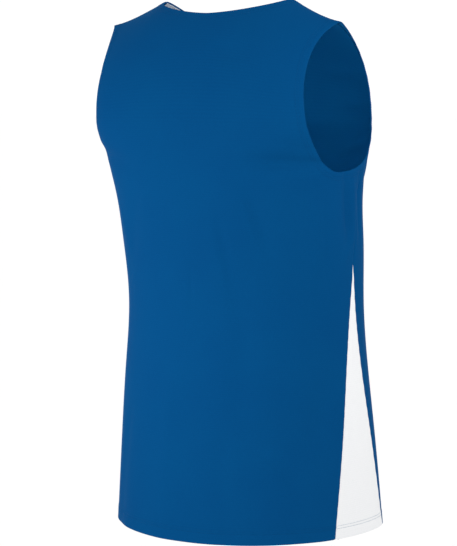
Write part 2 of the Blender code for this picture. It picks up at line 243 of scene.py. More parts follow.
def armLowArc(panel, share):
    # from the armhole's lowest place (0) to its innermost one (1)
    (angle, level), (inAngle, inLevel) = cut["armLow"], cut["armIn"][panel]
    turn = np.asarray(share, float) * pi / 2.0
    return place(angle + (inAngle - angle) * np.sin(turn),
                 inLevel + (level - inLevel) * np.cos(turn))


def armHighArc(panel, share):
    # from the innermost place (0) to the shoulder tip (1)
    inAngle, inLevel = cut["armIn"][panel]
    tipAngle, tipLevel = shoulderPlace(shoulderTip[0], panel)
    return place(inAngle + (tipAngle - inAngle) * share ** cut["armBow"],
                 inLevel + (tipLevel - inLevel) * share)


def alongCurve(places):
    # a function of the share of the curve's length on the cloth
    runs = np.linalg.norm(np.diff(formPoint(places), axis=0), axis=1)
    runs = np.concatenate(([0.0], np.cumsum(runs)))

    def at(share):
        wanted = np.asarray(share) * runs[-1]
        return place(np.interp(wanted, runs, places[:, 0]), np.interp(wanted, runs, places[:, 1]))

    at.length = runs[-1]
    return at


fineShares = np.linspace(0.0, 1.0, 160)
meshCells = {        # cells of the blended patches, as wide as a thumb; each is divided further
    "neck": {"back": 8, "front": 6}, "strap": 5, "armLow": {"back": 8, "front": 4},
    "insert": 10, "side": 4, "chest": {"back": 6, "front": 5}, "strapRows": {"back": 7, "front": 9},
    "chestArc": {"back": 0.62, "front": 0.72}, "chestMiddle": {"back": -205.0, "front": -232.0},
    "across": (4, 13.5), "up": (10, 38.3), "upStrap": (5, 17.0),   # parts, and millimetres of a cell
}


def sideSeamTop():
    # share of the front's lower arc at which the side seam meets the armhole
    def ahead(share):
        angle, level = armLowArc("front", share)
        return angle - insertEdge("front", level)

    return float(solveFor(ahead, np.array(0.0), np.array(1.0)))


def armCurves(panel):
    # the armhole on a panel: from the side seam to the chest patch, and on to the shoulder
    seam, chest = sideSeamTop(), meshCells["chestArc"][panel]
    start = armLowArc("front", seam)
    start = start + place(outwardTurn[panel] * localDegrees(cut["seamGap"] / 2.0, start), 0.0)
    if panel == "back":
        low = [start[None], armLowArc("front", seam * (1.0 - fineShares[1:])),
               armLowArc("back", chest * fineShares[1:])]
    else:
        low = [start[None], armLowArc("front", seam + (chest - seam) * fineShares[1:])]
    high = [armLowArc(panel, chest + (1.0 - chest) * fineShares), armHighArc(panel, fineShares[1:])]
    return alongCurve(np.concatenate(low)), alongCurve(np.concatenate(high))


def neckCurve(panel):
    # the neckline from its middle to the neck point
    drop, power = cut["neck"][panel], 2.0 / cut["neckRound"][panel]
    turn = fineShares * pi / 2.0
    x = neckPoint[0] * np.sin(turn) ** power
    height = neckPoint[2] + (drop - neckPoint[2]) * np.maximum(np.cos(turn), 0.0) ** power
    reach = np.clip((height - yoke) / (shoulderLine(x)[1] - yoke), 0.0, 1.0)
    turned = solveFor(lambda share: yokeTurn(share)[1] - reach,
                      np.zeros_like(reach), np.ones_like(reach))
    level = np.where(height > yoke, yoke + yokeArc * turned, height)
    level = np.minimum(level, seamLevel(x, panel))
    angle = angleAtX(x, np.minimum(level, yoke), panel)
    angle[0] = cut["middle"][panel]
    return alongCurve(place(angle, level))


def insetCurve(curve, width, panel):
    # the same neckline moved down the cloth by a width, ending on the shoulder seam
    def at(share):
        here, down = besideCurve(curve, np.asarray(share, float))
        return moveAlong(here, down * outwardTurn[panel], width)

    seamRun = unit(shoulderTip - neckPoint)
    last = shoulderPlace(neckPoint[0] + width * seamRun[0], panel)
    amiss = last - at(1.0)
    middle = place(cut["middle"][panel] - at(0.0)[0], 0.0)

    def seated(share):
        share = np.asarray(share, float)[..., None]
        end = np.clip((share - 0.85) / 0.15, 0.0, 1.0) ** 2
        start = np.clip(1.0 - share / 0.06, 0.0, 1.0) ** 2
        return at(share[..., 0]) + amiss * end + middle * start

    seated.length = curve.length
    return seated


def straight(start, end):
    start, end = np.asarray(start), np.asarray(end)
    return lambda share: start + (end - start) * np.asarray(share, float)[..., None]


def joined(first, second, share):
    # one edge made of two, the first up to this share
    def at(t):
        t = np.asarray(t, float)
        inFirst = first(np.clip(t / share, 0.0, 1.0))
        inSecond = second(np.clip((t - share) / (1.0 - share), 0.0, 1.0))
        return np.where((t <= share)[..., None], inFirst, inSecond)

    return at


def partOf(curve, start, end):
    return lambda share: curve(start + (end - start) * np.asarray(share, float))


def blendPatch(bottom, top, inner, outer, u, v):
    # grid of places between four edges that share their corners (a Coons patch)
    uu, vv = u[None, :, None], v[:, None, None]
    low, high = bottom(u)[None], top(u)[None]
    near, far = inner(v)[:, None], outer(v)[:, None]
    corners = ((1 - uu) * (1 - vv) * bottom(0.0) + uu * (1 - vv) * bottom(1.0)
               + (1 - uu) * vv * top(0.0) + uu * vv * top(1.0))
    return (1 - vv) * low + vv * high + (1 - uu) * near + uu * far - corners


# Distances from an edge at which the mesh has a line of its own, for the turned and sewn edges.
sewnSteps = np.array((0.0, 0.4, 1.0, 2.2, 3.6, 4.9, 6.2, 7.5, 8.8, 10.1, 11.5, 13.0))
seamSteps = np.array((0.0, 0.4, 1.0, 2.0, 3.6))
hemSteps = np.array((0.0, 0.5, 1.3, 3.0, 5.5, 8.0, 10.5, 12.4, 13.3, 14.0, 14.7, 15.9, 17.1, 17.8,
                     18.5, 19.6, 21.5, 24.5))


def cellLines(first, last, cell, startSteps=(), endSteps=()):
    # places of the mesh lines, in cells, evenly divided but for the steps at either end
    parts, cellSize = cell
    lines = np.linspace(first, last, (last - first) * parts + 1)
    near = np.asarray(startSteps) / cellSize
    far = np.asarray(endSteps) / cellSize
    margin = 0.6 / parts
    if len(near):
        lines = lines[lines > first + near[-1] + margin]
    if len(far):
        lines = lines[lines < last - far[-1] - margin]
    return np.unique(np.concatenate((first + near, lines, last - far)).round(6))


def panelPatches(panel):
    # left half of a panel: body, chest, strap and the strip along the neckline
    middle = cut["middle"][panel]
    neckCells, strapCells = meshCells["neck"][panel], meshCells["strap"]
    lowCells, chestRows = meshCells["armLow"][panel], meshCells["chest"][panel]
    strapRows, bodyRows = meshCells["strapRows"][panel], meshCells["insert"] + meshCells["side"]
    acrossChest = neckCells + strapCells
    low, high = armCurves(panel)
    neck = neckCurve(panel)
    inset = insetCurve(neck, cut["bandWidth"], panel)
    neckShare = neckCells / (neckCells + strapRows)
    chestShare = chestRows / (chestRows + strapRows)
    chestMiddle = (middle, meshCells["chestMiddle"][panel])
    turn = outwardTurn[panel]

    def side(share):
        rows = np.asarray(share, float) * bodyRows
        level = np.interp(rows, (0, meshCells["insert"], bodyRows),
                          (hem, cut["insertTip"], low(0.0)[1]))
        edge = place(insertEdge(panel, level), level)
        return edge + place(turn * localDegrees(cut["seamGap"] / 2.0, edge), 0.0)

    bodyLines = np.concatenate((
        cellLines(0, acrossChest, meshCells["across"], endSteps=sewnSteps),
        cellLines(acrossChest, acrossChest + lowCells, meshCells["across"], endSteps=seamSteps)[1:]))
    upLines = cellLines(0, bodyRows, meshCells["up"], hemSteps, sewnSteps)
    chestFoot = straight(chestMiddle, high(0.0))
    share = acrossChest / (acrossChest + lowCells)
    body = blendPatch(
        straight((middle, hem), side(0.0)), joined(chestFoot, partOf(low, 1.0, 0.0), share),
        straight((middle, hem), chestMiddle), side,
        bodyLines / (acrossChest + lowCells), upLines / bodyRows)

    chestLines = bodyLines[bodyLines <= acrossChest]
    strapFoot = straight(inset(neckShare), high(chestShare))
    split = neckCells / acrossChest
    chest = blendPatch(
        chestFoot, joined(partOf(inset, 0.0, neckShare), strapFoot, split),
        straight(chestMiddle, inset(0.0)), partOf(high, 0.0, chestShare),
        chestLines / acrossChest, cellLines(0, chestRows, meshCells["up"]) / chestRows)

    insetX = formPoint(inset(1.0))[0]

    def strapTop(share):
        return shoulderPlace(insetX + (shoulderTip[0] - insetX) * np.asarray(share, float), panel)

    strapLines = chestLines[chestLines >= neckCells] - neckCells
    strapUp = cellLines(0, strapRows, meshCells["upStrap"], endSteps=seamSteps)
    strap = blendPatch(
        strapFoot, strapTop,
        partOf(inset, neckShare, 1.0), partOf(high, chestShare, 1.0),
        strapLines / strapCells, strapUp / strapRows)

    stripLines = np.concatenate((chestLines[chestLines <= neckCells], neckCells + strapUp[1:]))
    along = stripLines / (neckCells + strapRows)
    up = np.concatenate(([0.0], 1.0 - sewnSteps[::-1][1:] / cut["bandWidth"]))
    strip = np.stack([inset(along) * (1.0 - t) + neck(along) * t for t in up])
    return [body, chest, strap, strip]


def insertPatch():
    # left insert from the hem to just under its tip, finer along its two seams
    look = {"clearTip": 3.0, "seamLines": 26.0, "middleColumns": 26, "rowHeight": 3.8}
    top = cut["insertTip"] - look["clearTip"]
    rows = int((top - hem - hemSteps[-1]) / look["rowHeight"])
    levels = np.concatenate((hem + hemSteps, np.linspace(hem + hemSteps[-1], top, rows + 1)[1:]))
    back, front = (place(insertEdge(panel, levels), levels) for panel in ("back", "front"))
    back = back + place(localDegrees(cut["seamGap"] / 2.0, back), 0.0)
    front = front - place(localDegrees(cut["seamGap"] / 2.0, front), 0.0)
    width = np.linalg.norm(formPoint(front) - formPoint(back), axis=-1)[:, None]
    steps = seamSteps[None] * np.minimum(1.0, width / look["seamLines"]) / width
    inner = np.linspace(0.0, 1.0, look["middleColumns"])[None, 1:-1]
    inner = steps[:, -1:] + (1.0 - 2.0 * steps[:, -1:]) * inner
    share = np.concatenate((steps, inner, 1.0 - steps[:, ::-1]), axis=1)[..., None]
    return back[:, None] * (1.0 - share) + front[:, None] * share


def mirrored(patches):
    # the patches together with their mirror images on the wearer's right
    return patches + [patch[:, ::-1] * np.array((-1.0, 1.0)) for patch in patches]


panels = {"back": panelPatches("back"), "front": panelPatches("front")}
for name, patches in panels.items():
    print(f"half of the {name} laid out, {sum(p.shape[0] * p.shape[1] for p in patches)} places")


# Large soft folds: the angle and level of both ends, half width and relief (a trough is negative).
largeFolds = (
    # angle  level   angle  level  halfWidth relief
    (-68.0, -195.0, -34.0, -207.0, 17.0, -3.0),     # under the shoulder blades
    (68.0, -200.0, 36.0, -214.0, 18.0, -2.6),
    (-63.0, -112.0, -56.0, -178.0, 26.0, 3.2),      # over the shoulder blades
    (60.0, -95.0, 58.0, -165.0, 24.0, 2.0),
    (-38.0, -232.0, -49.0, -335.0, 16.0, -2.0),     # slanting down from them
    (40.0, -240.0, 52.0, -350.0, 17.0, -1.6),
    (-33.0, -330.0, -30.0, -600.0, 26.0, -1.8),     # long hollow down the back
    (-74.0, -490.0, -61.0, -615.0, 20.0, -2.4),     # beside the insert
    (-87.0, -235.0, -89.0, -345.0, 14.0, -2.2),     # under the arms
    (87.0, -240.0, 90.0, -350.0, 15.0, -2.0),
    (-112.0, -195.0, -142.0, -255.0, 16.0, -2.8),   # across the front, from the armholes
    (114.0, -200.0, 146.0, -245.0, 17.0, -2.6),
    (-128.0, -420.0, -134.0, -660.0, 22.0, 2.6),    # flare of the front hem
    (136.0, -440.0, 139.0, -670.0, 24.0, 2.4),
)
# Finer creases, each a bent line: start, bend and end, the half width at start and end, the
# relief, and the share of the relief that is there at start and end.
fineCreases = (
    # start         bend            end             widths      relief start end
    (-85.5, -221.0, -89.5, -280.0, -89.0, -345.0, 4.5, 8.0, -2.2, 0.6, 0.0),    # right underarm
    (-97.5, -226.0, -99.5, -285.0, -96.5, -340.0, 4.5, 7.0, -1.6, 0.6, 0.0),
    (-91.5, -224.0, -93.5, -262.0, -92.0, -305.0, 3.5, 5.5, 1.4, 0.4, 0.0),
    (-93.5, -300.0, -89.0, -332.0, -83.0, -352.0, 6.0, 7.0, 1.3, 0.0, 0.0),
    (-73.5, -234.0, -73.8, -320.0, -72.0, -415.0, 5.0, 8.0, -0.8, 0.0, 0.0),
    (-69.0, -250.0, -69.5, -330.0, -67.0, -400.0, 6.0, 9.0, 0.5, 0.0, 0.0),
    (-86.5, -226.0, -86.8, -233.0, -87.2, -242.0, 2.8, 3.2, 0.7, 0.0, 0.0),
    (-72.0, -206.0, -55.0, -209.0, -31.0, -201.0, 7.0, 12.0, -3.4, 0.8, 0.0),   # right shoulder blade
    (-36.0, -238.0, -43.0, -300.0, -49.0, -350.0, 6.0, 9.0, -1.3, 0.0, 0.0),
    (-18.5, -262.0, -24.0, -354.0, -31.0, -440.0, 10.0, 14.0, -1.6, 0.0, 0.0),
    (2.0, -330.0, 2.5, -390.0, 4.0, -440.0, 5.0, 7.0, -0.6, 0.0, 0.0),
    (-40.0, -598.0, -47.0, -625.0, -55.0, -650.0, 9.0, 12.0, 1.2, 0.0, 0.0),
    (78.0, -395.0, 80.5, -480.0, 84.0, -590.0, 5.0, 7.0, 1.3, 0.0, 0.0),
    (-6.0, -86.0, -28.0, -92.0, -50.0, -82.0, 10.0, 12.0, -1.3, 0.0, 0.0),      # below the neckline
    (22.0, -70.0, 31.0, -80.0, 44.0, -76.0, 8.0, 9.0, -0.6, 0.0, 0.0),
    (84.0, -222.0, 88.5, -272.0, 87.0, -332.0, 4.5, 8.0, -1.4, 0.5, 0.0),       # left underarm
    (95.5, -226.0, 99.5, -282.0, 96.5, -350.0, 4.5, 8.0, -1.1, 0.6, 0.0),
    (90.5, -223.0, 93.0, -255.0, 91.0, -292.0, 3.5, 5.5, 0.8, 0.3, 0.0),
    (71.0, -240.0, 73.0, -310.0, 70.0, -405.0, 6.0, 9.0, -0.7, 0.0, 0.0),
    (78.0, -178.0, 60.0, -208.0, 32.0, -214.0, 8.0, 13.0, -1.0, 0.3, 0.0),      # left shoulder blade
    (62.0, -250.0, 57.0, -310.0, 47.0, -385.0, 8.0, 12.0, 0.6, 0.0, 0.0),
    (-62.0, -520.0, -60.0, -620.0, -64.0, -734.0, 13.0, 21.0, 1.1, 0.0, 1.0),   # hem of the back
    (-20.0, -560.0, -18.0, -640.0, -22.0, -734.0, 12.0, 20.0, -0.9, 0.0, 1.0),
    (15.0, -480.0, 18.0, -600.0, 14.0, -734.0, 14.0, 24.0, 0.9, 0.0, 1.0),
    (48.0, -540.0, 52.0, -640.0, 50.0, -734.0, 12.0, 20.0, -1.1, 0.0, 1.0),
    (-112.0, -168.0, -125.0, -190.0, -145.0, -200.0, 6.0, 12.0, -2.2, 0.0, 0.0),  # front armholes
    (112.0, -166.0, 126.0, -200.0, 144.0, -214.0, 6.0, 12.0, -1.1, 0.2, 0.0),
    (-118.0, -92.0, -130.0, -104.0, -150.0, -112.0, 6.0, 9.0, -2.4, 0.0, 0.0),
    (-113.0, -128.0, -128.0, -136.0, -150.0, -140.0, 6.0, 10.0, -2.6, 0.0, 0.0),
    (116.0, -96.0, 131.0, -108.0, 149.0, -118.0, 6.0, 9.0, -1.9, 0.0, 0.0),
    (111.0, -132.0, 127.0, -142.0, 148.0, -150.0, 6.0, 10.0, -2.1, 0.0, 0.0),
    (-104.0, -212.0, -118.0, -262.0, -128.0, -330.0, 6.0, 12.0, -1.1, 0.5, 0.0),
    (104.0, -214.0, 116.0, -270.0, 123.0, -345.0, 6.0, 12.0, -1.0, 0.5, 0.0),
    (-129.0, -40.0, -143.0, -120.0, -163.0, -205.0, 8.0, 16.0, -1.1, 0.3, 0.0),  # from the straps
    (128.0, -45.0, 145.0, -130.0, 159.0, -212.0, 8.0, 16.0, -1.0, 0.3, 0.0),
    (-160.0, -125.0, 180.0, -158.0, 158.0, -128.0, 9.0, 9.0, -0.7, 0.0, 0.0),   # under the neckline
    (-150.0, -300.0, -152.0, -480.0, -149.0, -734.0, 17.0, 27.0, 1.2, 0.0, 1.0),  # hem of the front
    (-166.0, -380.0, -163.0, -560.0, -168.0, -734.0, 15.0, 25.0, -1.2, 0.0, 1.0),
    (161.0, -340.0, 158.0, -520.0, 162.0, -734.0, 17.0, 27.0, 1.1, 0.0, 1.0),
    (173.0, -450.0, 176.0, -600.0, 171.0, -734.0, 15.0, 23.0, -1.0, 0.0, 1.0),
    (118.0, -400.0, 121.0, -560.0, 118.0, -734.0, 11.0, 19.0, -1.1, 0.0, 1.0),
    (-115.0, -430.0, -119.0, -580.0, -116.0, -734.0, 11.0, 19.0, -1.0, 0.0, 1.0),
)
reliefScale = {"folds": 1.4, "creases": 1.5, "foldEnds": 0.35}   # a fold's ends keep this share
roundScale = radians(1.0) * 185.0      # millimetres round the body for a degree


def easeStep(value, low, high):
    t = np.clip((value - low) / (high - low), 0.0, 1.0)
    return t * t * (3.0 - 2.0 * t)


def nearTo(angle, other):
    # the same angle, written within half a turn of another one
    return (angle - other + 180.0) % 360.0 - 180.0 + other


def onLine(places, lines):
    # distance in millimetres to a bent line of places, and the share of the way along it
    angle = nearTo(places[..., 0], lines[len(lines) // 2, 0])
    here = np.stack((angle * roundScale, places[..., 1]), -1)
    corners = lines * np.array((roundScale, 1.0))
    best, share = np.full(angle.shape, np.inf), np.zeros(angle.shape)
    for i in range(len(corners) - 1):
        run = corners[i + 1] - corners[i]
        t = np.clip(((here - corners[i]) @ run) / (run @ run), 0.0, 1.0)
        away = np.linalg.norm(here - corners[i] - t[..., None] * run, axis=-1)
        closer = away < best
        best = np.where(closer, away, best)
        share = np.where(closer, (i + t) / (len(corners) - 1), share)
    return best, share


def foldRelief(places):
    total = np.zeros(places.shape[:-1])
    for angleA, levelA, angleB, levelB, halfWidth, relief in largeFolds:
        away, share = onLine(places, np.array(((angleA, levelA), (angleB, levelB))))
        ends = reliefScale["foldEnds"]
        taper = ends + (1.0 - ends) * np.sin(pi * share)
        total += relief * taper * np.exp(-(away / halfWidth) ** 2)
    return total * reliefScale["folds"]


def creaseRelief(places):
    total = np.zeros(places.shape[:-1])
    t = np.linspace(0.0, 1.0, 9)[:, None]
    for *ends, widthA, widthB, relief, startShare, endShare in fineCreases:
        start, bend, end = np.array(ends).reshape(3, 2)
        bend[0], end[0] = nearTo(bend[0], start[0]), nearTo(end[0], start[0])
        line = start * (1.0 - t) ** 2 + 2.0 * bend * t * (1.0 - t) + end * t ** 2
        reach = 3.0 * max(widthA, widthB)
        angle, level = nearTo(places[..., 0], line[4, 0]), places[..., 1]
        spread = reach / roundScale
        close = ((angle > line[:, 0].min() - spread) & (angle < line[:, 0].max() + spread)
                 & (level > line[:, 1].min() - reach) & (level < line[:, 1].max() + reach))
        away, share = onLine(places[close], line)
        taper = startShare + (1.0 - startShare) * easeStep(share, 0.0, 0.3)
        taper *= endShare + (1.0 - endShare) * (1.0 - easeStep(share, 0.45, 1.0))
        width = widthA + (widthB - widthA) * share
        total[close] += relief * taper * np.exp(-(away / width) ** 2)
    return total * reliefScale["creases"]


# Turned edges, rows of stitches and seams change the relief and the thickness beside them.
edgeFinish = {       # width of the turned edge and how far its two rows of stitches lie from the edge
    "hem": {"turned": 19.0, "rows": (14.0, 17.8)},
    "arm": {"turned": 11.0, "rows": (6.4, 10.0)},
    "neck": {"turned": 11.0, "rows": (6.4, 10.0)},
}
layers = {
    "cloth": 0.9, "turned": 0.8, "proud": 0.35,       # thickness, and a turned edge's stand
    "rowDepth": 0.28, "rowWidth": 1.2,                # the groove that a row of stitches pulls in
    "seamDepth": 0.65, "seamWidth": 1.5,              # the groove along a sewn seam
    "pucker": 0.16, "puckerRun": 17.0,                # small waves beside rows and seams
    "rowPucker": 5.0, "seamPucker": 6.0,              # how far from them the waves reach
    "turnedSoft": 1.2,                                # half the width of the step to a turned edge
}


def seamCurves():
    # sewn seams on the wearer's left, each from its upper to its lower end
    tip, top = cut["insertTip"], armCurves("front")[0](0.0)[1]
    sideLevels = np.linspace(top, tip, 60)
    insertLevels = np.linspace(tip, hem, 120)
    xs = np.linspace(neckPoint[0], shoulderTip[0], 60)
    return {
        "side": alongCurve(place(insertEdge("front", sideLevels), sideLevels)),
        "insertBack": alongCurve(place(insertEdge("back", insertLevels), insertLevels)),
        "insertFront": alongCurve(place(insertEdge("front", insertLevels), insertLevels)),
        "shoulder": alongCurve(shoulderPlace(xs, "back")),
    }


def pointTree(curves, spacing=0.25):
    shares = [np.linspace(0.0, 1.0, int(curve.length / spacing) + 1) for curve in curves]
    points = np.concatenate([formPoint(curve(share)) for curve, share in zip(curves, shares)])
    tree = kdtree.KDTree(len(points))
    for i, point in enumerate(points.tolist()):
        tree.insert(point, i)
    tree.balance()
    return tree


seams = seamCurves()
edgeTrees = {
    "arm": pointTree([*armCurves("back"), *armCurves("front")]),
    "neck": pointTree([neckCurve("back"), neckCurve("front")]),
    "seam": pointTree(list(seams.values())),
}


def edgeDistances(places):
    points = formPoint(place(abs(places[..., 0]), places[..., 1])).reshape(-1, 3).tolist()
    away = {name: np.array([tree.find(p)[2] for p in points]).reshape(places.shape[:-1])
            for name, tree in edgeTrees.items()}
    away["hem"] = places[..., 1] - hem
    return away


def clothFaces(places):
    # how far the outer face stands off the smooth form, and the thickness under it
    away = edgeDistances(places)
    level, soft, run = places[..., 1], layers["turnedSoft"], layers["puckerRun"]
    lift = foldRelief(places) + creaseRelief(places)
    thickness = np.full(lift.shape, layers["cloth"])
    ripple = np.sin(places[..., 0] * roundScale / run * 2.0 * pi + level * 0.11)
    waver = np.sin(level / run * 2.0 * pi + 1.7 * np.sin(level * 0.043))
    for name, look in edgeFinish.items():
        turned = 1.0 - easeStep(away[name], look["turned"] - soft, look["turned"] + soft)
        thickness += layers["turned"] * turned
        lift += layers["proud"] * turned
        for row in look["rows"]:
            lift -= layers["rowDepth"] * np.exp(-((away[name] - row) / layers["rowWidth"]) ** 2)
        wave = layers["pucker"] * (ripple if name == "hem" else waver)
        lift += wave * np.exp(-((away[name] - look["rows"][0]) / layers["rowPucker"]) ** 2)
    lift -= layers["seamDepth"] * np.exp(-(away["seam"] / layers["seamWidth"]) ** 2)
    lift += layers["pucker"] * waver * np.exp(-(away["seam"] / layers["seamPucker"]) ** 2)
    return lift, thickness, away


def weld(patches):
    # one list of places for all the patches, and the quads between them
    places, quads, count = [], [], 0
    for patch in patches:
        rows, columns = patch.shape[:2]
        index = np.arange(rows * columns).reshape(rows, columns) + count
        corners = (index[:-1, :-1], index[:-1, 1:], index[1:, 1:], index[1:, :-1])
        quads.append(np.stack(corners, -1).reshape(-1, 4))
        places.append(patch.reshape(-1, 2))
        count += rows * columns
    places, quads = np.concatenate(places), np.concatenate(quads)
    # a place is known by one whole number, from thousandths of its angle and of its level
    angle, level = np.round(places * 1000.0).astype(np.int64).T
    fullTurn, levelSpan, lowest = 360000, 4000000, -1000000
    key = angle % fullTurn * levelSpan + level - lowest
    _, first, index = np.unique(key, return_index=True, return_inverse=True)
    return places[first], index[quads]


def addMesh(name, points, faces, material, uv=None, lined=None):
    # a smooth mesh from points in millimetres; faces all have the same number of corners. lined is
    # a material, and the first and last of the faces that have it
    faces = np.asarray(faces)
    data = bpy.data.meshes.new(name)
    data.vertices.add(len(points))
    data.vertices.foreach_set("co", (points * mm).astype(np.float32).ravel())
    data.loops.add(faces.size)
    data.loops.foreach_set("vertex_index", faces.astype(np.int32).ravel())
    data.polygons.add(len(faces))
    data.polygons.foreach_set("loop_start", np.arange(0, faces.size, faces.shape[1], dtype=np.int32))
    data.update(calc_edges=True)
    data.polygons.foreach_set("use_smooth", np.ones(len(faces), dtype=bool))
    if uv is not None:
        layer = data.uv_layers.new(name="knit")
        layer.data.foreach_set("uv", (uv[faces.ravel()] * mm).astype(np.float32).ravel())
    data.materials.append(material)
    if lined is not None:
        inner, first, last = lined
        data.materials.append(inner)
        index = np.arange(len(faces))
        slots = ((index >= first) & (index < last)).astype(np.int32)
        data.polygons.foreach_set("material_index", slots)
    data.validate()
    piece = bpy.data.objects.new(name, data)
    bpy.context.scene.collection.objects.link(piece)
    return piece


ringAngles = np.linspace(0.0, 180.0, 181)
ringRuns = np.linalg.norm(np.diff(formPoint(place(ringAngles, -300.0)), axis=0), axis=1)
ringRuns = np.concatenate(([0.0], np.cumsum(ringRuns)))


def clothUv(places, panel):
    # millimetres round the body and up the cloth, counted from the panel's own middle
    run = np.interp(abs(places[:, 0]), ringAngles, ringRuns)
    if panel == "front":
        run = ringRuns[-1] - run
    return np.stack((np.sign(places[:, 0]) * run, places[:, 1]), -1)


def makeShell(name, patches, panel, material, inside, depths=None, rimParts=3):
    # closed thin cloth through patches of places; depths are those of its two faces under the
    # outer face of the cloth where it isn't the outer cloth itself
    places, quads = weld(patches)
    form, normal = formPoint(places), formNormal(places)
    lift, thickness, away = clothFaces(places)
    near, far = (0.0, thickness) if depths is None else depths(thickness)
    outer = form + normal * (lift - near)[:, None]
    inner = form + normal * (lift - far)[:, None]
    a, b, d = (form[quads[:, i]] for i in (0, 1, 3))
    facing = (np.cross(b - a, d - a) * normal[quads[:, 0]]).sum()
    if facing < 0.0:
        quads = quads[:, ::-1]

    count = len(places)
    edges = np.concatenate([quads[:, [i, (i + 1) % 4]] for i in range(4)])
    edges = edges[~np.isin(edges[:, 0] * count + edges[:, 1], edges[:, 1] * count + edges[:, 0])]
    outward = np.zeros_like(form)
    run = unit(form[edges[:, 1]] - form[edges[:, 0]])
    for corner in (0, 1):
        np.add.at(outward, edges[:, corner], np.cross(run, normal[edges[:, corner]]))
    outward = unit(outward)
    rim = np.unique(edges)
    slot = np.full(count, -1)
    slot[rim] = np.arange(len(rim))
    middle, half = (outer[rim] + inner[rim]) / 2.0, (outer[rim] - inner[rim]) / 2.0
    bulge = np.linalg.norm(half, axis=1) * easeStep(away["seam"][rim], 0.2, 2.5)
    rings, start = [outer, inner], 2 * count
    faces = [quads, quads[:, ::-1] + count]
    previous = edges
    for part in range(1, rimParts + 2):
        if part <= rimParts:
            turn = pi * part / (rimParts + 1)
            rings.append(middle + half * cos(turn) + outward[rim] * (bulge * sin(turn))[:, None])
            current = slot[edges] + start
            start += len(rim)
        else:
            current = edges + count
        faces.append(np.stack((previous[:, 1], previous[:, 0], current[:, 0], current[:, 1]), -1))
        previous = current
    uv = clothUv(places, panel)
    uv = np.concatenate([uv, uv] + [uv[rim]] * rimParts)
    lined = (inside, len(quads), 2 * len(quads))
    piece = addMesh(name, np.concatenate(rings), np.concatenate(faces), material, uv, lined)
    a, b, c, d = (outer[quads[:, i]] for i in range(4))
    cross = np.cross(c - a, d - b)
    return piece, np.linalg.norm(cross, axis=1).sum() / 2.0 * mm * mm


def linear(code):
    # a colour written as sRGB hex, as the linear light that a shader takes
    parts = [int(code[i:i + 2], 16) / 255.0 for i in (1, 3, 5)]
    return [p / 12.92 if p <= 0.04045 else ((p + 0.055) / 1.055) ** 2.4 for p in parts] + [1.0]


def addNode(tree, kind, inputs=(), **settings):
    # a shader node with its settings; an input is a number, a colour or the output that feeds it
    node = tree.nodes.new("ShaderNode" + kind)
    for name, value in settings.items():
        setattr(node, name, value)
    for name, value in dict(inputs).items():
        if isinstance(value, bpy.types.NodeSocket):
            tree.links.new(value, node.inputs[name])
        else:
            node.inputs[name].default_value = value
    return node.outputs[0]


def feedShader(tree, shade, dull, bump, gloss):
    shader = tree.nodes["Principled BSDF"]
    for socket, feed in (("Base Color", shade), ("Roughness", dull), ("Normal", bump)):
        tree.links.new(feed, shader.inputs[socket])
    shader.inputs["Specular IOR Level"].default_value = gloss


